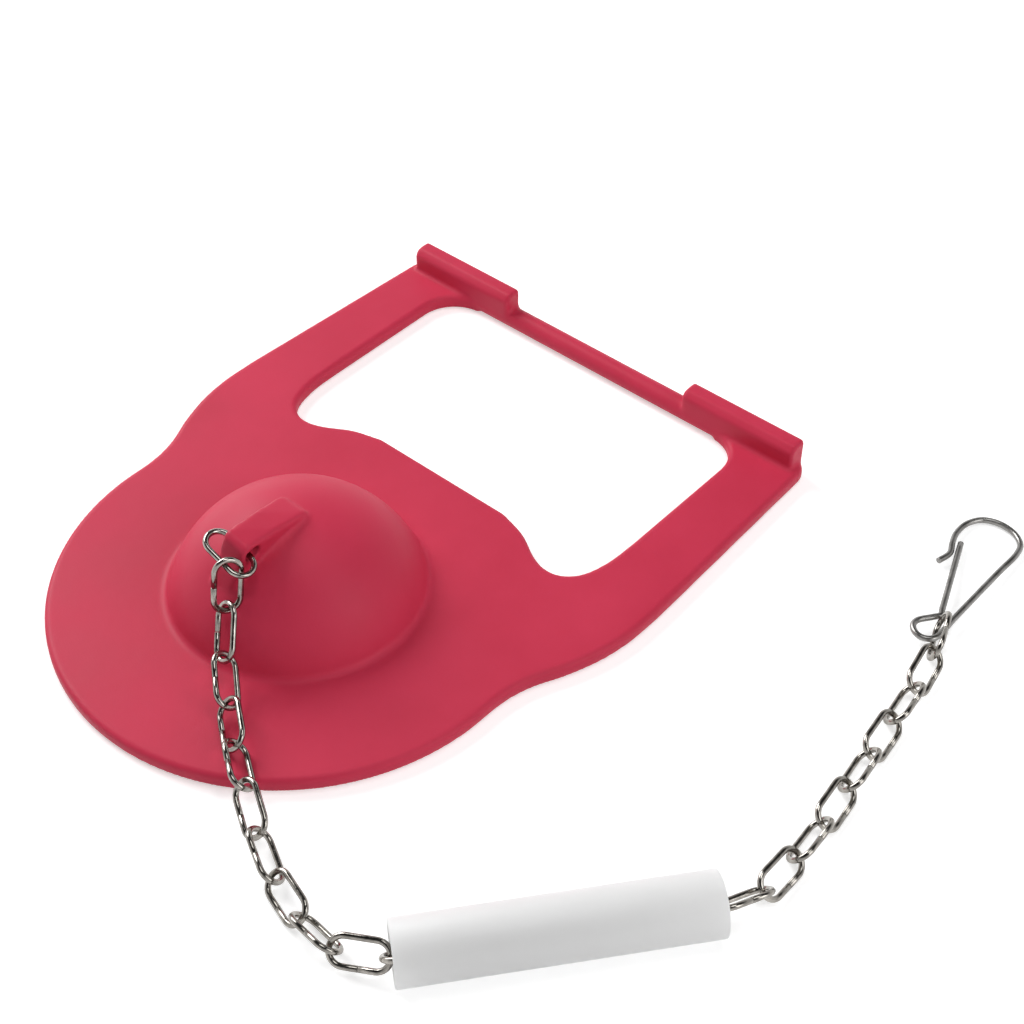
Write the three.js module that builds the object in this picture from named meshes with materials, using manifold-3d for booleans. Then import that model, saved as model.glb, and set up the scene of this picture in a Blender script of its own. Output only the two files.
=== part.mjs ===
// Toilet flapper: a red rubber flapper with a domed centre, a wire-link chain from its tab,
// a plastic float tube that the chain runs through, and a bent-wire clip on the chain's end.
// Millimetres, +Z up. Everything lies on the plane z = 0, as it comes to rest on a table, and
// the arms run towards +Y. The pieces are placed from the centre of the sealing disc. At the end
// the whole part is moved so that its origin is the middle of the base of its box.

import * as THREE from "three";
import { mergeVertices } from "three/addons/utils/BufferGeometryUtils.js";
import Module from "manifold-3d";

const wasm = await Module();
wasm.setup();

// Clearance kept between pieces that touch on the real object.
const CLEAR = 0.3;

// Flapper plate: the sealing disc and the two arms.
const DISC_RADIUS = 51;
const PLATE = 3.5;
const EDGE_ROUND = 1;
const DISC_REAR = 43;
const ARM_OUTER = 60;
const ARM_INNER = 44;
const ARM_REAR_OUTER = 58;
const ARM_CORNER = 4;
const WINDOW_CORNER = 9;

// Cross bar between the arms' ends, and the upright rib over each of its ends.
const BAR_Y = 96.1;
const BAR_DIAMETER = 5;
const RIB_OUTER = 56;
const RIB_INNER = 26;
const RIB_TOP = 9.2;
const RIB_THICKNESS = 4.8;
const RIB_CHAMFER = 1.4;

// Dome: a hollow cap on the disc, with a small fillet round its foot.
const DOME_RADIUS = 26.6;
const DOME_RISE = 20;
const DOME_WALL = 2.6;
const DOME_FILLET = 1.2;

// Chain tab: a fin on the dome, with a hole across its nose for the first link. The chain's
// pull has turned the nose over a little, by TAB_TWIST degrees.
const TAB_REAR_WIDTH = 7.4;
const TAB_FRONT_WIDTH = 6;
const TAB_TOP = 28;
const TAB_DROP = 3.2;
const TAB_REAR = 1.8;
const TAB_FRONT = 15.6;
const TAB_LEAN = 0.28;
const TAB_TWIST = 12;
const TAB_ROUND = 0.6;
const HOLE_RADIUS = 1.8;
const HOLE_WALL = 1.2;
const HOLE_DROP = 3.2;

// Chain link: round wire bent into a long oval, its two ends butted in the middle of one leg.
const LINK_WIRE = 1.2;
const LINK_INNER_LENGTH = 10;
const LINK_INNER_WIDTH = 4.1;
const LINK_SEAM = 0.1;
const LINK_PLAY = 0.42;
const LINK_ROLL = 45;
const FIRST_LINK_TILT = 20;
const FIRST_LINK_RISE = 4;
const SECOND_LINK_SLIDE = 2.33;
const SECOND_LINK_PLAY = 0.51;
const LAST_LINK_ROLL = 70;
const LAST_LINK_HEADING = 111;

// Float tube.
const TUBE_LENGTH = 57;
const TUBE_OUTER = 12;
const TUBE_WALL = 1.5;
const TUBE_CHAMFER = 0.3;
const TUBE_SLOPE = 51.3;

// Clip: one wire, bent into an eye, a back leg, a round head with a hook, and a spring gate.
const CLIP_WIRE = 1.3;
const CLIP_LENGTH = 41;
const CLIP_HEADING = 98;
const CLIP_SLACK = 2.8;
const CLIP_ASIDE = 2.76;
const CLIP_AHEAD = 1.27;
const CLIP_EYE_HEIGHT = 2.3;

// Numbers of facets.
const WIRE_SIDES = 8;
const LATHE_SIDES = 48;
const BOW_STEPS = 6;
const CLIP_STEPS = 76;

const STEEL = { color: 0xd4d2cc, roughness: 0.22, metalness: 1 };
const DULL_STEEL = { color: 0x8f8d89, roughness: 0.38, metalness: 1 };
const RUBBER = { color: 0xc13e54, roughness: 0.6, metalness: 0 };
const WHITE_PLASTIC = { color: 0xe8e8e6, roughness: 0.45, metalness: 0 };

const UP = new THREE.Vector3(0, 0, 1);
const BAR_RADIUS = BAR_DIAMETER / 2;
const PLATE_REAR = BAR_Y + RIB_THICKNESS / 2;
const WINDOW_REAR = BAR_Y - RIB_THICKNESS / 2;

// Solids

function solidOf(geometry) {
  const plain = geometry.index ? geometry.toNonIndexed() : geometry.clone();
  plain.deleteAttribute("normal");
  plain.deleteAttribute("uv");
  const merged = mergeVertices(plain, 1e-4);
  return new wasm.Manifold(
    new wasm.Mesh({
      numProp: 3,
      vertProperties: merged.attributes.position.array,
      triVerts: new Uint32Array(merged.index.array),
    }),
  );
}

function geometryOf(solid) {
  const mesh = solid.getMesh();
  const geometry = new THREE.BufferGeometry();
  geometry.setAttribute("position", new THREE.BufferAttribute(mesh.vertProperties, 3));
  geometry.setIndex(new THREE.BufferAttribute(mesh.triVerts, 1));
  geometry.computeVertexNormals();
  return geometry;
}

function named(name, geometry, finish) {
  const mesh = new THREE.Mesh(geometry, new THREE.MeshStandardMaterial(finish));
  mesh.name = name;
  return mesh;
}

function circleSection(radius) {
  const section = new THREE.Shape();
  section.absarc(0, 0, radius, 0, 2 * Math.PI);
  return section;
}

function wireAlong(path, diameter, steps) {
  return new THREE.ExtrudeGeometry(circleSection(diameter / 2), {
    steps,
    curveSegments: WIRE_SIDES / 2,
    extrudePath: path,
  });
}

// A lathe about +Z of a closed profile of [radius, height] points.
function turned(profile) {
  const points = profile.map(([r, z]) => new THREE.Vector2(r, z));
  const geometry = new THREE.LatheGeometry(points, LATHE_SIDES);
  return geometry.rotateX(Math.PI / 2);
}

function arcPoints(x, y, radius, from, to, steps) {
  return Array.from({ length: steps + 1 }, (_, i) => {
    const angle = from + ((to - from) * i) / steps;
    return [x + radius * Math.cos(angle), y + radius * Math.sin(angle)];
  });
}

// Flapper

// The right half of the plate's outline, from the disc's front to the middle of its rear edge.
function rightHalfOutline() {
  const front = arcPoints(0, 0, DISC_RADIUS, -Math.PI / 2, 0, 25);
  const shoulder = new THREE.SplineCurve(
    [
      front.at(-1),
      [DISC_RADIUS + 0.1, 4],
      [DISC_RADIUS + 0.7, 8],
      [DISC_RADIUS + 2.1, 12.5],
      [ARM_OUTER - 3.9, 19],
      [ARM_OUTER - 1.4, 26.5],
      [ARM_OUTER - 0.2, 34],
      [ARM_OUTER, 42],
    ].map(([x, y]) => new THREE.Vector2(x, y)),
  );
  const armEnd = arcPoints(
    ARM_REAR_OUTER - ARM_CORNER,
    PLATE_REAR - ARM_CORNER,
    ARM_CORNER,
    0,
    Math.PI / 2,
    5,
  );
  const webInner = ARM_INNER - WINDOW_CORNER;
  const windowCorner = arcPoints(
    webInner,
    WINDOW_REAR - WINDOW_CORNER,
    WINDOW_CORNER,
    Math.PI / 2,
    0,
    8,
  );
  const windowFront = new THREE.SplineCurve(
    [
      [ARM_INNER, DISC_REAR + 11],
      [ARM_INNER - 0.3, DISC_REAR + 4],
      [ARM_INNER - 1.9, DISC_REAR - 2.3],
      [ARM_INNER - 4.8, DISC_REAR - 5.7],
      [ARM_INNER - 8.6, DISC_REAR - 6.7],
      [ARM_INNER - 13, DISC_REAR - 5.4],
      [ARM_INNER - 19, DISC_REAR - 2],
      [ARM_INNER - 26, DISC_REAR],
    ].map(([x, y]) => new THREE.Vector2(x, y)),
  );
  return [
    ...front,
    ...shoulder.getPoints(18).slice(1).map((p) => [p.x, p.y]),
    ...armEnd,
    [webInner, PLATE_REAR],
    ...windowCorner,
    ...windowFront.getPoints(20).map((p) => [p.x, p.y]),
  ];
}

function plateSolid() {
  const right = rightHalfOutline();
  const left = right.slice(1).reverse().map(([x, y]) => [-x, y]);
  const outline = [...right, ...left].map(([x, y]) => new THREE.Vector2(x, y));
  const geometry = new THREE.ExtrudeGeometry(new THREE.Shape(outline), {
    depth: PLATE - 2 * EDGE_ROUND,
    bevelThickness: EDGE_ROUND,
    bevelSize: EDGE_ROUND,
    bevelOffset: -EDGE_ROUND,
    bevelSegments: 2,
  });
  return solidOf(geometry.translate(0, 0, EDGE_ROUND));
}

// The dome is part of a ball, whose middle lies below the plate.
const BALL_RADIUS = (DOME_RADIUS ** 2 + DOME_RISE ** 2) / (2 * DOME_RISE);
const BALL_Z = PLATE + DOME_RISE - BALL_RADIUS;

function domeSurface(radius) {
  return BALL_Z + Math.sqrt(BALL_RADIUS ** 2 - radius ** 2);
}

function domeSolid() {
  const filletZ = PLATE + DOME_FILLET;
  const reach = BALL_RADIUS + DOME_FILLET;
  const filletR = Math.sqrt(reach ** 2 - (filletZ - BALL_Z) ** 2);
  const touch = Math.atan2(filletZ - BALL_Z, filletR);
  const fillet = arcPoints(filletR, filletZ, DOME_FILLET, -Math.PI / 2, touch - Math.PI, 4);
  const cap = arcPoints(0, BALL_Z, BALL_RADIUS, touch, Math.PI / 2, 14);
  const profile = [[0, PLATE / 2], [filletR, PLATE / 2], ...fillet, ...cap.slice(1, -1)];
  profile.push([0, PLATE + DOME_RISE]);
  return solidOf(turned(profile));
}

function hollowSolid() {
  const radius = BALL_RADIUS - DOME_WALL;
  const cap = arcPoints(0, BALL_Z, radius, Math.asin(-BALL_Z / radius), Math.PI / 2, 11);
  const profile = [[0, -PLATE], [cap[0][0], -PLATE], ...cap.slice(0, -1)];
  profile.push([0, BALL_Z + radius]);
  return solidOf(turned(profile));
}

// A bar of the given outline in the Y-Z plane, from x = from to x = to.
function acrossX(outline, from, to, round) {
  const shape = new THREE.Shape(outline.map(([y, z]) => new THREE.Vector2(y, z)));
  const geometry = new THREE.ExtrudeGeometry(shape, {
    depth: to - from - 2 * round,
    bevelThickness: round,
    bevelSize: round,
    bevelOffset: -round,
    bevelSegments: 2,
    curveSegments: 24,
  });
  geometry.rotateY(Math.PI / 2).rotateX(Math.PI / 2);
  return geometry.translate(from + round, 0, 0);
}

// The tab's front face leans forwards towards its foot. Its twist grows evenly from its rear to
// its nose, about a line at the height of the dome under the nose.
const TWIST_Z = domeSurface(TAB_FRONT);

function tabFront(z) {
  return -TAB_FRONT - TAB_LEAN * (TAB_TOP - z);
}

function twisted(point) {
  const share = (TAB_REAR - point.y) / (TAB_REAR + TAB_FRONT);
  const angle = THREE.MathUtils.degToRad(TAB_TWIST) * share;
  const { x, z } = point;
  point.x = x * Math.cos(angle) + (z - TWIST_Z) * Math.sin(angle);
  point.z = TWIST_Z + (z - TWIST_Z) * Math.cos(angle) - x * Math.sin(angle);
  return point;
}

// The hole's centre and its axis: one wall behind the front face, across the twisted nose.
const HOLE_Y = tabFront(TAB_TOP - HOLE_DROP) + (HOLE_RADIUS + HOLE_WALL) * Math.hypot(1, TAB_LEAN);
const HOLE = twisted(new THREE.Vector3(0, HOLE_Y, TAB_TOP - HOLE_DROP));
const HOLE_AXIS = twisted(new THREE.Vector3(1, HOLE_Y, TAB_TOP - HOLE_DROP)).sub(HOLE);

// The tab is widest at its rear and narrows evenly to its nose.
function tabSolid() {
  const foot = PLATE + DOME_RISE / 2;
  const rearTop = TAB_TOP - TAB_DROP;
  const side = [
    [TAB_REAR, foot],
    [tabFront(foot), foot],
    [tabFront(TAB_TOP - 5), TAB_TOP - 5],
    [tabFront(TAB_TOP - 0.9), TAB_TOP - 0.9],
    [-TAB_FRONT + 0.7, TAB_TOP],
    [(TAB_REAR - TAB_FRONT) / 2, TAB_TOP - TAB_DROP / 2],
    [TAB_REAR - 1, rearTop],
    [TAB_REAR, rearTop - 0.9],
  ];
  const narrowing = (1 - TAB_FRONT_WIDTH / TAB_REAR_WIDTH) / (TAB_REAR + TAB_FRONT);
  const tab = acrossX(side, -TAB_REAR_WIDTH / 2, TAB_REAR_WIDTH / 2, TAB_ROUND);
  const corners = tab.attributes.position;
  const corner = new THREE.Vector3();
  for (let i = 0; i < corners.count; i += 1) {
    corner.fromBufferAttribute(corners, i);
    corner.x *= 1 - narrowing * (TAB_REAR - corner.y);
    corners.setXYZ(i, ...twisted(corner).toArray());
  }
  const drill = new THREE.CylinderGeometry(HOLE_RADIUS, HOLE_RADIUS, 2 * TAB_REAR_WIDTH, 32);
  const turn = new THREE.Quaternion().setFromUnitVectors(new THREE.Vector3(0, 1, 0), HOLE_AXIS);
  drill.applyQuaternion(turn).translate(HOLE.x, HOLE.y, HOLE.z);
  return solidOf(tab).subtract(solidOf(drill));
}

function barSolid() {
  const length = 2 * ARM_INNER + BAR_DIAMETER;
  const bar = new THREE.CylinderGeometry(BAR_RADIUS, BAR_RADIUS, length, 24);
  return solidOf(bar.rotateZ(Math.PI / 2).translate(0, BAR_Y, BAR_RADIUS));
}

function ribSolid(from, to) {
  const front = WINDOW_REAR;
  const rear = PLATE_REAR;
  const side = [
    [front, BAR_RADIUS],
    [rear, BAR_RADIUS],
    [rear, RIB_TOP],
    [front + RIB_CHAMFER, RIB_TOP],
    [front, RIB_TOP - RIB_CHAMFER],
  ];
  return solidOf(acrossX(side, from, to, 0.4));
}

function flapper() {
  const body = plateSolid()
    .add(domeSolid())
    .add(tabSolid())
    .add(barSolid())
    .add(ribSolid(RIB_INNER, RIB_OUTER))
    .add(ribSolid(-RIB_OUTER, -RIB_INNER))
    .subtract(hollowSolid());
  return named("flapper", geometryOf(body), RUBBER);
}

// Chain links

const WIRE_RADIUS = LINK_WIRE / 2;
const BOW_RADIUS = (LINK_INNER_WIDTH + LINK_WIRE) / 2;
const LEG_HALF = (LINK_INNER_LENGTH + LINK_WIRE) / 2 - BOW_RADIUS;
const PITCH = LINK_INNER_LENGTH - LINK_PLAY;

// The link's centreline lies in the x-y plane, long along x, and starts at its seam.
// Each stretch has the steps that its shape needs: one on a straight piece, more on a bow.
class LinkPath extends THREE.Curve {
  constructor() {
    super();
    const legs = BOW_RADIUS;
    this.stations = [
      [LINK_SEAM / 2, -legs],
      ...arcPoints(LEG_HALF, 0, BOW_RADIUS, -Math.PI / 2, Math.PI / 2, BOW_STEPS),
      ...arcPoints(-LEG_HALF, 0, BOW_RADIUS, Math.PI / 2, 1.5 * Math.PI, BOW_STEPS),
      [-LINK_SEAM / 2, -legs],
    ];
    this.steps = this.stations.length - 1;
  }

  getPointAt(u, target = new THREE.Vector3()) {
    const [x, y] = this.stations[Math.round(u * this.steps)];
    return target.set(x, y, 0);
  }

  getTangentAt(u, target = new THREE.Vector3()) {
    const i = Math.round(u * this.steps);
    const bow = this.stations[i];
    const centre = Math.sign(bow[0]) * LEG_HALF;
    const onBow = Math.abs(bow[0]) > LEG_HALF + 1e-9;
    return onBow
      ? target.set(-bow[1], bow[0] - centre, 0).normalize()
      : target.set(-Math.sign(bow[1]), 0, 0);
  }

  getPoint(t, target) {
    return this.getPointAt(t, target);
  }
}

function linkGeometry() {
  const path = new LinkPath();
  return wireAlong(path, LINK_WIRE, path.steps);
}

// Puts a mesh at a centre, with its x along "along" and its z along "normal".
function place(mesh, centre, along, normal) {
  const across = new THREE.Vector3().crossVectors(normal, along);
  mesh.quaternion.setFromRotationMatrix(new THREE.Matrix4().makeBasis(along, across, normal));
  mesh.position.copy(centre);
  return mesh;
}

// The normal of a link's plane: the plane leans by "roll" degrees from lying flat.
function rolledNormal(along, roll) {
  const side = new THREE.Vector3().crossVectors(along, UP).normalize();
  const flat = new THREE.Vector3().crossVectors(side, along);
  const angle = THREE.MathUtils.degToRad(roll);
  return flat.multiplyScalar(Math.cos(angle)).addScaledVector(side, Math.sin(angle));
}

// The first link: one leg through the tab's hole, the other in front of the tab.
const FIRST_TILT = THREE.MathUtils.degToRad(FIRST_LINK_TILT);
const FIRST_RISE = THREE.MathUtils.degToRad(FIRST_LINK_RISE);
const FIRST_ALONG = new THREE.Vector3(Math.cos(FIRST_TILT), 0, -Math.sin(FIRST_TILT));
const FIRST_ACROSS = new THREE.Vector3(0, -Math.cos(FIRST_RISE), Math.sin(FIRST_RISE))
  .projectOnPlane(FIRST_ALONG)
  .normalize();
const FIRST_PULL = (HOLE_RADIUS - WIRE_RADIUS) / 2;
const FIRST_CENTRE = HOLE.clone().addScaledVector(FIRST_ACROSS, FIRST_PULL + BOW_RADIUS);
const FRONT_LEG = FIRST_CENTRE.clone().addScaledVector(FIRST_ACROSS, BOW_RADIUS);

// Height of the chain's middle over whatever it lies on.
const LINK_LEAN = THREE.MathUtils.degToRad(LINK_ROLL);
const LIE = BOW_RADIUS * Math.sin(LINK_LEAN) + WIRE_RADIUS + 0.1;

// The chain lies in the bottom of the tube's bore, this far below its middle.
const TUBE_RADIUS = TUBE_OUTER / 2;
const BORE_RADIUS = TUBE_RADIUS - TUBE_WALL;
const BORE_DROP = Math.sqrt(
  (BORE_RADIUS - WIRE_RADIUS - CLEAR) ** 2 - (BOW_RADIUS * Math.cos(LINK_LEAN)) ** 2,
) - BOW_RADIUS * Math.sin(LINK_LEAN);
const TUBE_ANGLE = THREE.MathUtils.degToRad(TUBE_SLOPE);
const TUBE_DIRECTION = new THREE.Vector3(Math.cos(TUBE_ANGLE), Math.sin(TUBE_ANGLE), 0);
const TUBE_CENTRE = new THREE.Vector3(94, -29.2, TUBE_RADIUS);

function inTube(fromCentre) {
  const point = TUBE_CENTRE.clone().addScaledVector(TUBE_DIRECTION, fromCentre);
  point.z -= BORE_DROP;
  return point;
}

// The chain's middle line: off the tab, down the dome, over the disc's edge, along the table,
// through the tube and on to the clip. Its points are chosen by hand.
function chainRoute() {
  const half = TUBE_LENGTH / 2;
  const leg = FRONT_LEG.clone().addScaledVector(FIRST_ALONG, SECOND_LINK_SLIDE);
  const below = new THREE.Vector3(4.46, -21.78, 15.69);
  const entry = inTube(-half);
  const exit = inTube(half);
  const hang = below.clone().sub(leg).normalize();
  const points = [
    leg.addScaledVector(hang, -WIRE_RADIUS - SECOND_LINK_PLAY),
    below,
    new THREE.Vector3(9.8, -28.2, 9.2),
    new THREE.Vector3(19, -35.4, PLATE + LIE + 0.2),
    new THREE.Vector3(30, -42.8, PLATE + LIE + 0.4),
    new THREE.Vector3(38.5, -47.6, 4.3),
    new THREE.Vector3(46, -51.5, LIE),
    new THREE.Vector3(55, -54.6, LIE),
    new THREE.Vector3(entry.x - 12.68, entry.y - 4.56, LIE + 0.4),
    new THREE.Vector3(entry.x - 7.18, entry.y - 4.56, LIE + 1.5),
    entry,
    inTube(-half / 2),
    inTube(0),
    inTube(half / 2),
    inTube(half - 2),
    new THREE.Vector3(exit.x + 2.58, exit.y + 4.56, LIE + 1.1),
    new THREE.Vector3(exit.x + 3.18, exit.y + 12.96, LIE + 0.1),
    new THREE.Vector3(exit.x + 2.58, exit.y + 25.46, LIE),
    new THREE.Vector3(exit.x + 1.68, exit.y + 34.16, LIE),
    new THREE.Vector3(exit.x + 0.48, exit.y + 43.26, LIE),
    new THREE.Vector3(exit.x - 1.32, exit.y + 57.96, LIE),
    new THREE.Vector3(exit.x - 2.52, exit.y + 66.96, LIE + 0.1),
    new THREE.Vector3(exit.x - 4.02, exit.y + 75.76, LIE + 0.8),
  ];
  return new THREE.CatmullRomCurve3(points, false, "centripetal");
}

// Walks along the route and marks the points where one link hooks the next, a pitch apart.
function hookPoints(route) {
  const samples = route.getPoints(4000);
  const hooks = [samples[0]];
  for (const point of samples) {
    if (point.distanceTo(hooks.at(-1)) >= PITCH) hooks.push(point);
  }
  return hooks;
}

function linkMesh(number) {
  return named("link_" + String(number).padStart(2, "0"), linkGeometry(), STEEL);
}

function firstLink() {
  const normal = new THREE.Vector3().crossVectors(FIRST_ALONG, FIRST_ACROSS);
  return place(linkMesh(1), FIRST_CENTRE, FIRST_ALONG, normal);
}

// A link that starts at a hook point and runs along the given direction.
function hookedLink(number, hook, along, roll) {
  const centre = hook.clone().addScaledVector(along, PITCH / 2);
  return place(linkMesh(number), centre, along, rolledNormal(along, roll));
}

function chainLinks() {
  const hooks = hookPoints(chainRoute());
  const links = [firstLink()];
  for (let i = 1; i < hooks.length; i += 1) {
    const along = hooks[i].clone().sub(hooks[i - 1]).normalize();
    links.push(hookedLink(i + 1, hooks[i - 1], along, i % 2 ? -LINK_ROLL : LINK_ROLL));
  }
  return { links, end: hooks.at(-1) };
}

// Float tube

function floatTube() {
  const half = TUBE_LENGTH / 2;
  const profile = [
    [BORE_RADIUS, -half + TUBE_CHAMFER],
    [BORE_RADIUS + TUBE_CHAMFER, -half],
    [TUBE_RADIUS - TUBE_CHAMFER, -half],
    [TUBE_RADIUS, -half + TUBE_CHAMFER],
    [TUBE_RADIUS, half - TUBE_CHAMFER],
    [TUBE_RADIUS - TUBE_CHAMFER, half],
    [BORE_RADIUS + TUBE_CHAMFER, half],
    [BORE_RADIUS, half - TUBE_CHAMFER],
    [BORE_RADIUS, -half + TUBE_CHAMFER],
  ];
  const mesh = named("float_tube", turned(profile), WHITE_PLASTIC);
  mesh.quaternion.setFromUnitVectors(UP, TUBE_DIRECTION);
  mesh.position.copy(TUBE_CENTRE);
  return mesh;
}

// Clip

// The wire's centreline in the clip's own plane: x across, y from the eye's foot to the head.
// The gate's free end rests on the inside of the hook.
const GATE_REST = CLIP_WIRE + CLEAR;

function clipPath() {
  const head = CLIP_LENGTH - CLIP_WIRE / 2;
  const hook = [
    [-6.9, head - 18.2],
    [-5.8, head - 14.6],
    [-6.6, head - 11.4],
    [-7.1, head - 8],
    [-6.4, head - 3.9],
    [-4.1, head - 0.9],
    [-0.6, head],
    [3.2, head - 1.2],
    [5.5, head - 3.8],
    [5.9, head - 7],
  ];
  const leg = [
    [4.9, head - 14],
    [2.5, 8],
  ];
  const eye = [
    [1.6, 1.2],
    [0.5, 0],
    [-1, -0.35],
    [-2.6, 0.4],
    [-3.6, 1.9],
    [-3.4, 3.6],
    [-1.2, 6.2],
  ];
  const gate = [
    [-0.1, 7.6],
    [-0.5, 9.4],
    [-6.7 + GATE_REST, head - 10.4],
  ];
  const points = [...hook, ...leg, ...eye, ...gate].map(([x, y]) => new THREE.Vector3(x, y, 0));
  return new THREE.CatmullRomCurve3(points, false, "centripetal");
}

// The clip lies almost flat. Its head rests on the table, and its eye lies over the last link's
// lower leg, so that it hangs through that link.
function chainClip(lastLink) {
  const mesh = named("chain_clip", wireAlong(clipPath(), CLIP_WIRE, CLIP_STEPS), DULL_STEEL);
  const angle = THREE.MathUtils.degToRad(CLIP_HEADING);
  const heading = new THREE.Vector3(Math.cos(angle), Math.sin(angle), 0);
  const across = new THREE.Vector3().crossVectors(heading, UP);
  const reach = LINK_INNER_LENGTH / 2 - CLIP_SLACK;
  const foot = new THREE.Vector3(-reach, 0, 0).applyMatrix4(lastLink.matrix);
  foot.addScaledVector(across, -CLIP_ASIDE).addScaledVector(heading, CLIP_AHEAD);
  foot.z = CLIP_EYE_HEIGHT;
  const drop = Math.asin((foot.z - CLIP_WIRE / 2 - 0.05) / CLIP_LENGTH);
  const along = heading.multiplyScalar(Math.cos(drop)).setZ(-Math.sin(drop));
  const normal = new THREE.Vector3().crossVectors(across, along);
  return place(mesh, foot, across, normal);
}

function lastLink(number, end) {
  const angle = THREE.MathUtils.degToRad(LAST_LINK_HEADING);
  const along = new THREE.Vector3(Math.cos(angle), Math.sin(angle), 0);
  const mesh = hookedLink(number, end, along, number % 2 ? LAST_LINK_ROLL : -LAST_LINK_ROLL);
  mesh.updateMatrix();
  return mesh;
}

const { links, end } = chainLinks();
const last = lastLink(links.length + 1, end);
const chain = new THREE.Group();
chain.add(...links, last, floatTube(), chainClip(last));

const onDisc = new THREE.Group();
onDisc.add(flapper(), chain);
const box = new THREE.Box3().setFromObject(onDisc, true);
onDisc.position.copy(box.getCenter(new THREE.Vector3())).negate().setZ(-box.min.z);

const part = new THREE.Group();
part.add(onDisc);

export default part;
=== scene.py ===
import math

import bmesh
import bpy
import numpy as np
from mathutils import Matrix, Vector

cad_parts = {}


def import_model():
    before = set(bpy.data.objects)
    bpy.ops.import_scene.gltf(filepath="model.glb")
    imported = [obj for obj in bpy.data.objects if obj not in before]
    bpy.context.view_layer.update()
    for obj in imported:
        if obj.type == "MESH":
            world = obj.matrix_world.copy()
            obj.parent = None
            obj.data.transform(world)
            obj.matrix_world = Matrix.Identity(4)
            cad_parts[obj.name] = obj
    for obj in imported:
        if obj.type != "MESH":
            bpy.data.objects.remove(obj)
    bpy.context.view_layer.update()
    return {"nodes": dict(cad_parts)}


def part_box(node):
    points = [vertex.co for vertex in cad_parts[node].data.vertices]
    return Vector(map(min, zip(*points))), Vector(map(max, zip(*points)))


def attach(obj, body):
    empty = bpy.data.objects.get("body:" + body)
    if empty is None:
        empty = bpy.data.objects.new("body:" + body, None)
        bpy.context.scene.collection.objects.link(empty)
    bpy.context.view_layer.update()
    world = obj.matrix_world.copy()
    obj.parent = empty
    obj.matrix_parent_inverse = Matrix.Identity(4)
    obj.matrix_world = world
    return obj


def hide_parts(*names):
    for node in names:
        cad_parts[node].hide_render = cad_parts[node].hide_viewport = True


# Sizes are in millimetres, as in the CAD model, unless a comment gives another unit.
# MM turns them into metres.
MM = 0.001
UP = Vector((0, 0, 1))

# Flapper plate
DISC_RADIUS = 51
PLATE = 3.5
PLATE_ROUND = 1.1
DISC_REAR = 43
ARM_OUTER = 60
ARM_INNER = 44
ARM_REAR_OUTER = 58
ARM_CORNER = 4
WINDOW_CORNER = 9

# Cross bar and ribs
BAR_Y = 96.1
BAR_RADIUS = 2.5
RIB_OUTER = 56
RIB_INNER = 26
RIB_TOP = 9.2
RIB_THICKNESS = 4.8
RIB_CHAMFER = 1.4
RIB_ROUND = 0.4
PLATE_REAR = BAR_Y + RIB_THICKNESS / 2
WINDOW_REAR = BAR_Y - RIB_THICKNESS / 2

# Dome, part of a ball whose middle lies below the plate
DOME_RADIUS = 26.6
DOME_RISE = 20
DOME_WALL = 2.6
DOME_FILLET = 1.2
BALL_RADIUS = (DOME_RADIUS ** 2 + DOME_RISE ** 2) / (2 * DOME_RISE)
BALL_Z = PLATE + DOME_RISE - BALL_RADIUS

# Chain tab, which the chain's pull has turned over a little at its nose
TAB_REAR_WIDTH = 7.4
TAB_FRONT_WIDTH = 6
TAB_TOP = 28
TAB_DROP = 3.2
TAB_REAR = 1.8
TAB_FRONT = 15.6
TAB_LEAN = 0.28
TAB_TWIST = math.radians(12)
TAB_ROUND = 0.6

# Small slants at the tab's top corners, and how far below its top the front face is divided,
# so that the twist can bend it
TAB_CORNER = 0.9
TAB_NOSE_CUT = 0.7
TAB_TAIL_CUT = 1
TAB_FACE_SPLIT = 5

# Hole in the tab's nose
HOLE_RADIUS = 1.8
HOLE_WALL = 1.2
HOLE_DROP = 3.2

# How finely the rubber moulding is meshed, and how much it is smoothed to round its edges
RUBBER_VOXEL = 0.5
RUBBER_SMOOTHING = 2
RUBBER_SMOOTHING_FACTOR = 0.5

# Chain link
LINK_WIRE = 1.2
LINK_INNER_LENGTH = 10
LINK_INNER_WIDTH = 4.1
LINK_SEAM = 0.1
SEAM_CHAMFER = 0.04
BOW_RADIUS = (LINK_INNER_WIDTH + LINK_WIRE) / 2
LEG_HALF = (LINK_INNER_LENGTH + LINK_WIRE) / 2 - BOW_RADIUS

# Float tube
TUBE_LENGTH = 57
TUBE_OUTER = 6
TUBE_BORE = 4.5
TUBE_CHAMFER = 0.3
TUBE_CHAMFER_BULGE = 0.3

# Clip; its heading is in degrees from +X
CLIP_WIRE = 1.3
CLIP_LENGTH = 41
CLIP_HEADING = 98
CLIP_SLACK = 2.8
CLIP_ASIDE = 2.76
CLIP_AHEAD = 1.27
CLIP_EYE_HEIGHT = 2.3
CLIP_CLEARANCE = 0.05
CLIP_CHAMFER = 0.12
GATE_REST = 1.6

# Sides of the round forms
DOME_SIDES = 128
TUBE_SIDES = 96
BAR_SIDES = 40
HOLE_SIDES = 40
CLIP_SIDES = 24
LINK_SIDES = 20

# Powers of the curves' spacing: centripetal, and all but uniform
CENTRIPETAL = 0.5
EVEN = 0.001

# Limits of accuracy: a radius that counts as the axis, the shortest step of a curve, how far a
# weld reaches in metres, and the decimals of a metre to which a CAD node's corners must agree
ON_AXIS = 1e-6
SHORTEST_STEP = 1e-9
WELD_REACH = 1e-6
CORNER_DIGITS = 7

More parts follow.
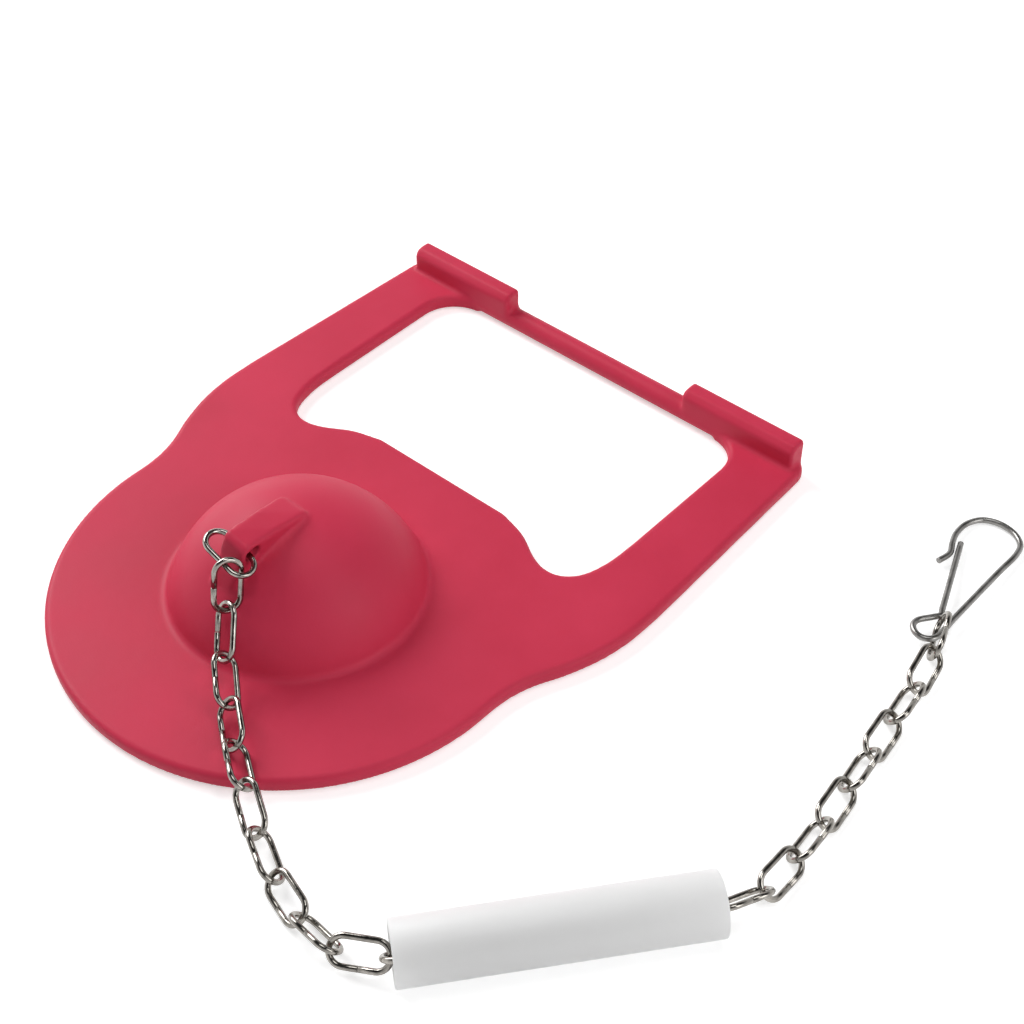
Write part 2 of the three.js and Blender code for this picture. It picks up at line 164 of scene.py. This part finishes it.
# Colours of each material: the plain one, then the two that its clouds run between
RUBBER_COLOURS = ((0.6, 0.034, 0.08), (0.57, 0.031, 0.073), (0.63, 0.037, 0.087))
LINK_COLOURS = ((0.28, 0.265, 0.24), (0.17, 0.16, 0.145), (0.44, 0.415, 0.38))
CLIP_COLOURS = ((0.26, 0.25, 0.24), (0.19, 0.185, 0.175), (0.33, 0.32, 0.31))
TUBE_COLOURS = ((0.96, 0.96, 0.96), (0.955, 0.955, 0.955), (0.97, 0.97, 0.97))

# Roughness of each material, in the same order
RUBBER_ROUGHNESS = (0.5, 0.44, 0.56)
LINK_ROUGHNESS = (0.16, 0.09, 0.2)
CLIP_ROUGHNESS = (0.3, 0.22, 0.38)
TUBE_ROUGHNESS = (0.5, 0.44, 0.56)

# Scales of the noises, in cells per metre
RUBBER_CLOUDS = 45
RUBBER_SWELL = 160
RUBBER_GRAIN = 2600
LINK_PATCHES = 500
LINK_LINES = 900
CLIP_PATCHES = 260
CLIP_LINES = 700
TUBE_CLOUDS = 120
TUBE_LINES = 900

# How far the noises of drawn lines are stretched, on each axis of the piece
LINK_STRETCH = (0.15, 4, 4)
CLIP_STRETCH = (5, 0.12, 5)
TUBE_STRETCH = (1, 1, 0.02)

# Depths of the bumps
RUBBER_SWELL_DEPTH = 0.05
RUBBER_GRAIN_DEPTH = 0.02
LINK_PATCH_DEPTH = 0.03
LINK_LINE_DEPTH = 0.006
CLIP_LINE_DEPTH = 0.012
TUBE_LINE_DEPTH = 0.012

# Gloss of the rubber, and how light sinks in: weight, radius for red, green and blue, and
# scale in metres
RUBBER_SPECULAR = 0.2
RUBBER_SUBSURFACE = (0.08, (1.0, 0.25, 0.2), 0.002)
TUBE_SUBSURFACE = (0.7, (1, 1, 1), 0.004)

# The part of the noise's range that clouds are drawn from
NOISE_LOW = 0.3
NOISE_HIGH = 0.7

# Camera of the photograph, measured from the centre of the sealing disc; it sees nothing nearer
# than CAMERA_NEAR, in metres
CAMERA_PLACE = (201.0, -162.8, 266.8)
CAMERA_BACK = (0.477, -0.543, 0.691)
CAMERA_RIGHT = (0.752, 0.659, 0.0)
CAMERA_LENS = 63.2
CAMERA_SENSOR = 36
CAMERA_NEAR = 0.01

# Lamps: name, place and size in metres, and power in watts
LAMPS = (
    ("key", (-0.85, 0.05, 0.62), (0.6, 0.6), 8.6),
    ("top", (0.1, 0.1, 1.0), (0.45, 0.45), 2.3),
    ("side", (0.75, 0.08, 0.5), (0.4, 0.6), 2.4),
)
LAMP_AIM = (0.02, 0.0, 0.0)

# Floor: half its side, how far it lies under the part, its colour, roughness and gloss, and how
# much it glows for the camera
FLOOR_HALF = 3000
FLOOR_DROP = 0.05
FLOOR_COLOUR = (0.86, 0.86, 0.86)
FLOOR_ROUGHNESS = 0.9
FLOOR_SPECULAR = 0.1
FLOOR_GLOW = 0.5

# World: the heights of the wall's top and the ceiling as sines of their angle, the ceiling's
# colour, and how much of the world's brightness lights the pieces
WALL_TOP = 0.42
CEILING = 0.66
CEILING_GREY = (0.05, 0.05, 0.05)
WORLD_FILL = 0.52

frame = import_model()

# Disc centre in the CAD model's frame, from the flapper's own box
flapper_low, flapper_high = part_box("flapper")
DISC = Vector(((flapper_low.x + flapper_high.x) / 2, flapper_low.y + DISC_RADIUS * MM, 0))


# Curves

def arc_points(x, y, radius, start, stop, steps):
    angles = (start + (stop - start) * i / steps for i in range(steps + 1))
    return [(x + radius * math.cos(a), y + radius * math.sin(a)) for a in angles]


def circle_points(x, y, radius, sides):
    return arc_points(x, y, radius, 0, 2 * math.pi, sides)[:-1]


def smooth_points(points, steps, power=CENTRIPETAL):
    """A Catmull-Rom curve through the points, with so many steps from each to the next."""
    points = [np.array(p, float) for p in points]
    ends = [2 * points[0] - points[1], 2 * points[-1] - points[-2]]
    padded = [ends[0], *points, ends[1]]
    curve = []
    for i in range(len(points) - 1):
        a, b, c, d = padded[i:i + 4]
        t1 = max(np.linalg.norm(b - a), SHORTEST_STEP) ** power
        t2 = t1 + max(np.linalg.norm(c - b), SHORTEST_STEP) ** power
        t3 = t2 + max(np.linalg.norm(d - c), SHORTEST_STEP) ** power
        for k in range(steps):
            t = t1 + (t2 - t1) * k / steps
            ab = (t1 - t) / t1 * a + t / t1 * b
            bc = (t2 - t) / (t2 - t1) * b + (t - t1) / (t2 - t1) * c
            cd = (t3 - t) / (t3 - t2) * c + (t - t2) / (t3 - t2) * d
            low = (t2 - t) / t2 * ab + t / t2 * bc
            high = (t3 - t) / (t3 - t1) * bc + (t - t1) / (t3 - t1) * cd
            curve.append((t2 - t) / (t2 - t1) * low + (t - t1) / (t2 - t1) * high)
    curve.append(points[-1])
    return curve


# Meshes

def linked(name, data):
    """A new object in the scene."""
    made = bpy.data.objects.new(name, data)
    bpy.context.scene.collection.objects.link(made)
    return made


def mesh_object(name, points, faces, smooth=True):
    mesh = bpy.data.meshes.new(name)
    mesh.from_pydata([tuple(c * MM for c in p) for p in points], [], faces)
    mesh.validate()
    bm = bmesh.new()
    bm.from_mesh(mesh)
    bmesh.ops.recalc_face_normals(bm, faces=bm.faces)
    bm.to_mesh(mesh)
    bm.free()
    if smooth:
        mesh.shade_smooth()
    return linked(name, mesh)


def prism(name, outline, low, high, place):
    """A solid between two copies of an outline; place(u, v, w) gives a corner's x, y and z."""
    count = len(outline)
    points = [place(u, v, low) for u, v in outline] + [place(u, v, high) for u, v in outline]
    faces = [tuple(reversed(range(count))), tuple(range(count, 2 * count))]
    for i in range(count):
        j = (i + 1) % count
        faces.append((i, j, count + j, count + i))
    return mesh_object(name, points, faces, smooth=False)


def from_above(x, y, z):
    """Places a prism's outline that is drawn in X and Y."""
    return x, y, z


def from_side(y, z, x):
    """Places a prism's outline that is drawn in Y and Z."""
    return x, y, z


def turned(name, profile, sides, smooth=True):
    """A lathe about Z of a profile of (radius, height) points."""
    points = []
    rings = []
    for radius, height in profile:
        if radius < ON_AXIS:
            rings.append([len(points)] * sides)
            points.append((0, 0, height))
            continue
        rings.append(list(range(len(points), len(points) + sides)))
        for k in range(sides):
            angle = 2 * math.pi * k / sides
            points.append((radius * math.cos(angle), radius * math.sin(angle), height))
    faces = []
    for a, b in zip(rings, rings[1:]):
        for k in range(sides):
            j = (k + 1) % sides
            faces.append(tuple(dict.fromkeys((a[k], a[j], b[j], b[k]))))
    return mesh_object(name, points, faces, smooth)


def wire(name, path, radius, sides, chamfer):
    """A round wire along a path in the X-Y plane, with slightly chamfered, closed ends."""
    path = [np.array(p, float) for p in path]
    normal = np.array(UP, float)
    ends = [path[1] - path[0], path[-1] - path[-2]]
    ends = [e / np.linalg.norm(e) for e in ends]
    stations = [(path[0], radius - chamfer), (path[0] + chamfer * ends[0], radius)]
    stations += [(p, radius) for p in path[1:-1]]
    stations += [(path[-1] - chamfer * ends[1], radius), (path[-1], radius - chamfer)]
    points = []
    count = len(stations)
    for i, (centre, size) in enumerate(stations):
        ahead = stations[min(i + 1, count - 1)][0] - stations[max(i - 1, 0)][0]
        across = np.cross(normal, ahead / np.linalg.norm(ahead))
        for k in range(sides):
            angle = 2 * math.pi * k / sides
            points.append(centre + size * (math.cos(angle) * across + math.sin(angle) * normal))
    faces = [tuple(range(sides)), tuple(range((count - 1) * sides, count * sides))]
    for i in range(count - 1):
        for k in range(sides):
            j = (k + 1) % sides
            a, b = i * sides, (i + 1) * sides
            faces.append((a + k, a + j, b + j, b + k))
    return mesh_object(name, points, faces)


def applied(piece):
    """The piece with its modifiers made part of its mesh."""
    graph = bpy.context.evaluated_depsgraph_get()
    mesh = bpy.data.meshes.new_from_object(piece.evaluated_get(graph))
    piece.modifiers.clear()
    piece.data = mesh
    return piece


def combine(piece, other, operation):
    """Adds the other solid to the piece or cuts it away, and deletes the other."""
    boolean = piece.modifiers.new(operation, "BOOLEAN")
    boolean.operation = operation
    boolean.solver = "EXACT"
    boolean.object = other
    applied(piece)
    bpy.data.objects.remove(other)
    return piece


def bevelled(piece, width, segments=3, angle=35):
    """Rounds the edges that turn by more than the angle, in degrees."""
    bevel = piece.modifiers.new("bevel", "BEVEL")
    bevel.width = width * MM
    bevel.segments = segments
    bevel.limit_method = "ANGLE"
    bevel.angle_limit = math.radians(angle)
    return applied(piece)


def placement(centre, x, y, z):
    """The matrix that puts an object at the centre, with its axes along x, y and z."""
    return Matrix.Translation(centre) @ Matrix((x, y, z)).transposed().to_4x4()


# Materials

def material(name, colour, roughness, metallic=0.0):
    made = bpy.data.materials.new(name)
    made.use_nodes = True
    shader = made.node_tree.nodes["Principled BSDF"]
    shader.inputs["Base Color"].default_value = (*colour, 1)
    shader.inputs["Roughness"].default_value = roughness
    shader.inputs["Metallic"].default_value = metallic
    return made, made.node_tree, shader


def noise(tree, scale, detail=2, stretch=(1, 1, 1)):
    """Noise in the piece's own coordinates; scale is in cells per metre."""
    place = tree.nodes.new("ShaderNodeTexCoord")
    mapping = tree.nodes.new("ShaderNodeMapping")
    mapping.inputs["Scale"].default_value = stretch
    texture = tree.nodes.new("ShaderNodeTexNoise")
    texture.inputs["Scale"].default_value = scale
    texture.inputs["Detail"].default_value = detail
    tree.links.new(place.outputs["Object"], mapping.inputs["Vector"])
    tree.links.new(mapping.outputs["Vector"], texture.inputs["Vector"])
    return texture.outputs["Fac"]


def remap(tree, value, low, high, start=NOISE_LOW, stop=NOISE_HIGH):
    """Turns a value that runs from start to stop into one that runs from low to high."""
    node = tree.nodes.new("ShaderNodeMapRange")
    node.inputs["From Min"].default_value = start
    node.inputs["From Max"].default_value = stop
    node.inputs["To Min"].default_value = low
    node.inputs["To Max"].default_value = high
    tree.links.new(value, node.inputs["Value"])
    return node.outputs["Result"]


def ramp(tree, value, start, stop, first, last):
    """Turns a value that runs from start to stop into a colour from the first to the last."""
    node = tree.nodes.new("ShaderNodeValToRGB")
    node.color_ramp.elements[0].position = start
    node.color_ramp.elements[1].position = stop
    node.color_ramp.elements[0].color = (*first, 1)
    node.color_ramp.elements[1].color = (*last, 1)
    tree.links.new(value, node.inputs["Fac"])
    return node.outputs["Color"]


def clouded(name, colours, roughness, scale, detail=3, metallic=0.0):
    """A material whose colour and roughness drift in soft clouds; their noise comes back too."""
    plain_colour, dark, light = colours
    plain_roughness, low, high = roughness
    made, tree, shader = material(name, plain_colour, plain_roughness, metallic)
    clouds = noise(tree, scale, detail)
    colour = ramp(tree, clouds, NOISE_LOW, NOISE_HIGH, dark, light)
    tree.links.new(colour, shader.inputs["Base Color"])
    tree.links.new(remap(tree, clouds, low, high), shader.inputs["Roughness"])
    return made, tree, shader, clouds


def bump(tree, shader, layers):
    """Bumps of (height, distance in millimetres), one over the other."""
    below = None
    for height, distance in layers:
        node = tree.nodes.new("ShaderNodeBump")
        node.inputs["Distance"].default_value = distance * MM
        tree.links.new(height, node.inputs["Height"])
        if below:
            tree.links.new(below, node.inputs["Normal"])
        below = node.outputs["Normal"]
    tree.links.new(below, shader.inputs["Normal"])


def subsurface(shader, weight, radius, scale):
    """Lets light sink in; the radius is for red, green and blue, and the scale is in metres."""
    shader.inputs["Subsurface Weight"].default_value = weight
    shader.inputs["Subsurface Radius"].default_value = radius
    shader.inputs["Subsurface Scale"].default_value = scale


def rubber_material():
    """Soft moulded rubber: a fine matt grain, with faint clouds in its colour and gloss."""
    made, tree, shader, _ = clouded(
        "red_rubber", RUBBER_COLOURS, RUBBER_ROUGHNESS, RUBBER_CLOUDS, detail=4
    )
    swell = noise(tree, RUBBER_SWELL)
    grain = noise(tree, RUBBER_GRAIN)
    bump(tree, shader, [(swell, RUBBER_SWELL_DEPTH), (grain, RUBBER_GRAIN_DEPTH)])
    shader.inputs["Specular IOR Level"].default_value = RUBBER_SPECULAR
    subsurface(shader, *RUBBER_SUBSURFACE)
    return made


def link_material():
    """Bright nickel-plated wire, with faint drawing lines and a few cloudy patches."""
    made, tree, shader, patches = clouded(
        "bright_steel", LINK_COLOURS, LINK_ROUGHNESS, LINK_PATCHES, metallic=1.0
    )
    lines = noise(tree, LINK_LINES, stretch=LINK_STRETCH)
    bump(tree, shader, [(patches, LINK_PATCH_DEPTH), (lines, LINK_LINE_DEPTH)])
    return made


def clip_material():
    """Plain spring wire, duller and greyer than the links, with fine drawing lines."""
    made, tree, shader, _ = clouded(
        "grey_steel", CLIP_COLOURS, CLIP_ROUGHNESS, CLIP_PATCHES, metallic=1.0
    )
    bump(tree, shader, [(noise(tree, CLIP_LINES, stretch=CLIP_STRETCH), CLIP_LINE_DEPTH)])
    return made


def tube_material():
    """Milky white plastic, a little translucent, with faint lines along its length."""
    made, tree, shader, _ = clouded("white_plastic", TUBE_COLOURS, TUBE_ROUGHNESS, TUBE_CLOUDS)
    bump(tree, shader, [(noise(tree, TUBE_LINES, stretch=TUBE_STRETCH), TUBE_LINE_DEPTH)])
    subsurface(shader, *TUBE_SUBSURFACE)
    return made


def dress(piece, made, node):
    """Gives a piece its material, and lets it stand for its CAD node and ride on its body."""
    piece.data.materials.clear()
    piece.data.materials.append(made)
    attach(piece, node)
    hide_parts(node)
    return piece


# Flapper

def plate_outline():
    """The plate seen from above: its right half from the disc's front, then that half mirrored."""
    front = arc_points(0, 0, DISC_RADIUS, -math.pi / 2, 0, 60)
    shoulder = smooth_points(
        [
            front[-1],
            (DISC_RADIUS + 0.1, 4),
            (DISC_RADIUS + 0.7, 8),
            (DISC_RADIUS + 2.1, 12.5),
            (ARM_OUTER - 3.9, 19),
            (ARM_OUTER - 1.4, 26.5),
            (ARM_OUTER - 0.2, 34),
            (ARM_OUTER, 42),
        ],
        8,
        EVEN,
    )
    arm_end = arc_points(
        ARM_REAR_OUTER - ARM_CORNER, PLATE_REAR - ARM_CORNER, ARM_CORNER, 0, math.pi / 2, 8
    )
    web = ARM_INNER - WINDOW_CORNER
    corner = arc_points(web, WINDOW_REAR - WINDOW_CORNER, WINDOW_CORNER, math.pi / 2, 0, 14)
    window = smooth_points(
        [
            (ARM_INNER, DISC_REAR + 11),
            (ARM_INNER - 0.3, DISC_REAR + 4),
            (ARM_INNER - 1.9, DISC_REAR - 2.3),
            (ARM_INNER - 4.8, DISC_REAR - 5.7),
            (ARM_INNER - 8.6, DISC_REAR - 6.7),
            (ARM_INNER - 13, DISC_REAR - 5.4),
            (ARM_INNER - 19, DISC_REAR - 2),
            (ARM_INNER - 26, DISC_REAR),
        ],
        6,
        EVEN,
    )
    right = [*front, *shoulder[1:], *arm_end, (web, PLATE_REAR), *corner, *window]
    left = [(-x, y) for x, y in reversed(right[1:])]
    return [(float(x), float(y)) for x, y in [*right, *left]]


def dome_surface(radius):
    """Height of the dome's surface, so far from its axis."""
    return BALL_Z + math.sqrt(BALL_RADIUS ** 2 - radius ** 2)


def dome():
    """A cap of the ball, on a fillet that runs out into the plate."""
    fillet_z = PLATE + DOME_FILLET
    fillet_r = math.sqrt((BALL_RADIUS + DOME_FILLET) ** 2 - (fillet_z - BALL_Z) ** 2)
    touch = math.atan2(fillet_z - BALL_Z, fillet_r)
    fillet = arc_points(fillet_r, fillet_z, DOME_FILLET, -math.pi / 2, touch - math.pi, 6)
    cap = arc_points(0, BALL_Z, BALL_RADIUS, touch, math.pi / 2, 30)
    profile = [(0, PLATE / 2), (fillet_r, PLATE / 2), *fillet, *cap[1:-1]]
    return turned("dome", [*profile, (0, PLATE + DOME_RISE)], DOME_SIDES, smooth=False)


def hollow():
    """The space under the dome, which reaches below the plate so that it cuts through it."""
    radius = BALL_RADIUS - DOME_WALL
    cap = arc_points(0, BALL_Z, radius, math.asin(-BALL_Z / radius), math.pi / 2, 24)
    profile = [(0, -PLATE), (cap[0][0], -PLATE), *cap[:-1], (0, BALL_Z + radius)]
    return turned("hollow", profile, DOME_SIDES, smooth=False)


def tab_front(z):
    """Where the tab's front face is, at a height."""
    return -TAB_FRONT - TAB_LEAN * (TAB_TOP - z)


def tab_angle(y):
    """How far the tab is twisted; the twist grows evenly from the rear to the nose."""
    return TAB_TWIST * (TAB_REAR - y) / (TAB_REAR + TAB_FRONT)


def twisted(x, y, z):
    """Turns a point of the tab about a line along Y, where the nose leaves the dome."""
    angle = tab_angle(y)
    height = z - dome_surface(TAB_FRONT)
    across = x * math.cos(angle) + height * math.sin(angle)
    return across, y, z + height * (math.cos(angle) - 1) - x * math.sin(angle)


def tab():
    """A fin that is widest at its rear, and narrows evenly and leans over towards its nose."""
    foot = PLATE + DOME_RISE / 2
    side = [
        (TAB_REAR, foot),
        (tab_front(foot), foot),
        (tab_front(TAB_TOP - TAB_FACE_SPLIT), TAB_TOP - TAB_FACE_SPLIT),
        (tab_front(TAB_TOP - TAB_CORNER), TAB_TOP - TAB_CORNER),
        (-TAB_FRONT + TAB_NOSE_CUT, TAB_TOP),
        ((TAB_REAR - TAB_FRONT) / 2, TAB_TOP - TAB_DROP / 2),
        (TAB_REAR - TAB_TAIL_CUT, TAB_TOP - TAB_DROP),
        (TAB_REAR, TAB_TOP - TAB_DROP - TAB_CORNER),
    ]
    narrowing = (1 - TAB_FRONT_WIDTH / TAB_REAR_WIDTH) / (TAB_REAR + TAB_FRONT)
    half = TAB_REAR_WIDTH / 2

    def corner(y, z, x):
        return twisted(x * (1 - narrowing * (TAB_REAR - y)), y, z)

    return bevelled(prism("tab", side, -half, half, corner), TAB_ROUND)


def tab_hole():
    """The hole's drill, one wall behind the front face, across the twisted nose."""
    hole_z = TAB_TOP - HOLE_DROP
    hole_y = tab_front(hole_z) + (HOLE_RADIUS + HOLE_WALL) * math.hypot(1, TAB_LEAN)
    angle = tab_angle(hole_y)
    centre = twisted(0, hole_y, hole_z)

    def corner(u, v, w):
        across = w * math.cos(angle) + v * math.sin(angle)
        up = v * math.cos(angle) - w * math.sin(angle)
        return centre[0] + across, centre[1] + u, centre[2] + up

    ring = circle_points(0, 0, HOLE_RADIUS, HOLE_SIDES)
    return prism("hole", ring, -TAB_REAR_WIDTH, TAB_REAR_WIDTH, corner)


def bar():
    """The cross bar, which ends inside the arms."""
    reach = ARM_INNER + BAR_RADIUS
    ring = circle_points(BAR_Y, BAR_RADIUS, BAR_RADIUS, BAR_SIDES)
    return prism("bar", ring, -reach, reach, from_side)


def rib(low, high):
    """The rib that stands along the rear edge, between two places across it."""
    side = [
        (WINDOW_REAR, BAR_RADIUS),
        (PLATE_REAR, BAR_RADIUS),
        (PLATE_REAR, RIB_TOP),
        (WINDOW_REAR + RIB_CHAMFER, RIB_TOP),
        (WINDOW_REAR, RIB_TOP - RIB_CHAMFER),
    ]
    return bevelled(prism("rib", side, low, high, from_side), RIB_ROUND, 2)


def flapper():
    """One rubber moulding: its solids are joined, then remeshed and smoothed to round each edge."""
    piece = prism("flapper_rubber", plate_outline(), 0, PLATE, from_above)
    bevelled(piece, PLATE_ROUND, 4, angle=50)
    for other in (dome(), tab(), bar(), rib(RIB_INNER, RIB_OUTER), rib(-RIB_OUTER, -RIB_INNER)):
        combine(piece, other, "UNION")
    for other in (hollow(), tab_hole()):
        combine(piece, other, "DIFFERENCE")
    remesh = piece.modifiers.new("remesh", "REMESH")
    remesh.mode = "VOXEL"
    remesh.voxel_size = RUBBER_VOXEL * MM
    smoothing = piece.modifiers.new("smoothing", "SMOOTH")
    smoothing.iterations = RUBBER_SMOOTHING
    smoothing.factor = RUBBER_SMOOTHING_FACTOR
    applied(piece)
    piece.data.shade_smooth()
    piece.location = DISC
    return dress(piece, rubber_material(), "flapper")


# Chain

def node_frame(node):
    """Centre and axes of a straight CAD node from its corners: longest axis first, thinnest last.

    The third value is how far the centre of its extent lies from its corners' mean, on each axis.
    """
    corners = np.array([v.co for v in frame["nodes"][node].data.vertices], float)
    corners = np.unique(corners.round(CORNER_DIGITS), axis=0)
    mean = corners.mean(0)
    _, axes = np.linalg.eigh(np.cov((corners - mean).T))
    axes = axes.T[::-1]
    spans = (corners - mean) @ axes.T
    middle = (spans.max(0) + spans.min(0)) / 2
    return Vector(mean + middle @ axes), [Vector(a) for a in axes], middle


def lay_flat(piece, centre, along, normal):
    """Puts a flat wire's X axis along one direction and its plane's normal along another."""
    piece.matrix_world = placement(centre, along, normal.cross(along), normal)


def link_path(steps=16):
    """Half-way along one leg, round both bows and back, with the butted ends a hair apart."""
    low = [(LINK_SEAM / 2, -BOW_RADIUS)]
    right = arc_points(LEG_HALF, 0, BOW_RADIUS, -math.pi / 2, math.pi / 2, steps)
    left = arc_points(-LEG_HALF, 0, BOW_RADIUS, math.pi / 2, 1.5 * math.pi, steps)
    return [(x, y, 0) for x, y in [*low, *right, *left, (-LINK_SEAM / 2, -BOW_RADIUS)]]


def chain_links():
    """One wire mesh serves every link; the last link's node name comes back."""
    made = link_material()
    pattern = wire("link", link_path(), LINK_WIRE / 2, LINK_SIDES, SEAM_CHAMFER)
    nodes = sorted(n for n in frame["nodes"] if n.startswith("link_"))
    for node in nodes:
        centre, (along, across, _), middle = node_frame(node)
        # More of the node's corners lie at its seam, so its middle lies on the other side.
        if middle[1] < 0:
            across = -across
        piece = linked(node + "_wire", pattern.data)
        lay_flat(piece, centre, along, along.cross(across))
        dress(piece, made, node)
    bpy.data.objects.remove(pattern)
    return nodes[-1]


# Float tube

def float_tube():
    """A plain tube, whose inner and outer edges are rounded at both ends."""
    half = TUBE_LENGTH / 2
    bulge = TUBE_CHAMFER * TUBE_CHAMFER_BULGE
    profile = [
        (TUBE_BORE, 0),
        (TUBE_BORE, half - TUBE_CHAMFER),
        (TUBE_BORE + bulge, half - bulge),
        (TUBE_BORE + TUBE_CHAMFER, half),
        (TUBE_OUTER - TUBE_CHAMFER, half),
        (TUBE_OUTER - bulge, half - bulge),
        (TUBE_OUTER, half - TUBE_CHAMFER),
        (TUBE_OUTER, 0),
    ]
    mirrored = [(r, -z) for r, z in reversed(profile[1:-1])]
    piece = turned("tube", [*profile, *mirrored, profile[0]], TUBE_SIDES)
    weld = piece.modifiers.new("weld", "WELD")
    weld.merge_threshold = WELD_REACH
    applied(piece)
    centre, (along, _, _), _ = node_frame("float_tube")
    side = UP.cross(along)
    piece.matrix_world = placement(centre, side, along.cross(side), along)
    return dress(piece, tube_material(), "float_tube")


# Clip

def clip_path():
    """The clip's wire, from the hook's tip round the head, down to the eye and up the gate."""
    head = CLIP_LENGTH - CLIP_WIRE / 2
    hook = [
        (-6.9, head - 18.2),
        (-5.8, head - 14.6),
        (-6.6, head - 11.4),
        (-7.1, head - 8),
        (-6.4, head - 3.9),
        (-4.1, head - 0.9),
        (-0.6, head),
        (3.2, head - 1.2),
        (5.5, head - 3.8),
        (5.9, head - 7),
    ]
    leg = [(4.9, head - 14), (2.5, 8)]
    eye = [
        (1.6, 1.2),
        (0.5, 0),
        (-1, -0.35),
        (-2.6, 0.4),
        (-3.6, 1.9),
        (-3.4, 3.6),
        (-1.2, 6.2),
    ]
    gate = [(-0.1, 7.6), (-0.5, 9.4), (-6.7 + GATE_REST, head - 10.4)]
    return [(x, y, 0) for x, y in smooth_points([*hook, *leg, *eye, *gate], 12)]


def chain_clip(last):
    """The clip goes where the CAD puts it: through the last link, almost flat on the table."""
    centre, (along, _, _), _ = node_frame(last)
    if along.y < 0:
        along = -along
    angle = math.radians(CLIP_HEADING)
    heading = Vector((math.cos(angle), math.sin(angle), 0))
    across = heading.cross(UP)
    foot = centre - along * (LINK_INNER_LENGTH / 2 - CLIP_SLACK) * MM
    foot += (-across * CLIP_ASIDE + heading * CLIP_AHEAD) * MM
    foot.z = CLIP_EYE_HEIGHT * MM
    drop = math.asin((CLIP_EYE_HEIGHT - CLIP_WIRE / 2 - CLIP_CLEARANCE) / CLIP_LENGTH)
    ahead = heading * math.cos(drop) - Vector((0, 0, math.sin(drop)))
    piece = wire("clip_wire", clip_path(), CLIP_WIRE / 2, CLIP_SIDES, CLIP_CHAMFER)
    lay_flat(piece, foot, across, across.cross(ahead))
    return dress(piece, clip_material(), "chain_clip")


# Studio

def camera():
    back = Vector(CAMERA_BACK).normalized()
    up = back.cross(Vector(CAMERA_RIGHT).normalized()).normalized()
    data = bpy.data.cameras.new("camera")
    data.lens = CAMERA_LENS
    data.sensor_width = CAMERA_SENSOR
    data.clip_start = CAMERA_NEAR
    made = linked("camera", data)
    made.matrix_world = placement(DISC + Vector(CAMERA_PLACE) * MM, up.cross(back), up, back)
    bpy.context.scene.camera = made


def softbox(name, place, size, power):
    data = bpy.data.lights.new(name, "AREA")
    data.shape = "RECTANGLE"
    data.size, data.size_y = size
    data.energy = power
    made = linked(name, data)
    made.location = Vector(place)
    aim = Vector(LAMP_AIM) - Vector(place)
    made.rotation_euler = aim.to_track_quat("-Z", "Y").to_euler()


def seen_directly(tree):
    """1 for rays from the camera, a mirror or glass, and 0 for rays that carry soft light."""
    path = tree.nodes.new("ShaderNodeLightPath")
    total = path.outputs["Is Camera Ray"]
    for ray in ("Is Glossy Ray", "Is Transmission Ray"):
        node = tree.nodes.new("ShaderNodeMath")
        node.use_clamp = True
        tree.links.new(total, node.inputs[0])
        tree.links.new(path.outputs[ray], node.inputs[1])
        total = node.outputs["Value"]
    return total


def floor():
    """A white table top, seen a little brighter than it is lit, so that it reads as white."""
    half = FLOOR_HALF
    corners = [(-half, -half, 0), (half, -half, 0), (half, half, 0), (-half, half, 0)]
    made = mesh_object("floor", corners, [(0, 1, 2, 3)], smooth=False)
    made.location.z = -FLOOR_DROP * MM
    white, tree, shader = material("floor_white", FLOOR_COLOUR, FLOOR_ROUGHNESS)
    shader.inputs["Specular IOR Level"].default_value = FLOOR_SPECULAR
    shader.inputs["Emission Color"].default_value = (1, 1, 1, 1)
    glow = remap(tree, seen_directly(tree), 0, FLOOR_GLOW, start=0, stop=1)
    tree.links.new(glow, shader.inputs["Emission Strength"])
    made.data.materials.append(white)


def world():
    """A white wall all round and a dark ceiling, which light the pieces less than they show."""
    made = bpy.data.worlds.new("studio")
    made.use_nodes = True
    tree = made.node_tree
    place = tree.nodes.new("ShaderNodeTexCoord")
    parts = tree.nodes.new("ShaderNodeSeparateXYZ")
    tree.links.new(place.outputs["Generated"], parts.inputs["Vector"])
    background = tree.nodes["Background"]
    colour = ramp(tree, parts.outputs["Z"], WALL_TOP, CEILING, (1, 1, 1), CEILING_GREY)
    tree.links.new(colour, background.inputs["Color"])
    strength = remap(tree, seen_directly(tree), WORLD_FILL, 1, start=0, stop=1)
    tree.links.new(strength, background.inputs["Strength"])
    bpy.context.scene.world = made


camera()
for lamp in LAMPS:
    softbox(*lamp)
floor()
world()
flapper()
last_link = chain_links()
float_tube()
chain_clip(last_link)

bpy.context.scene.view_settings.view_transform = "Standard"
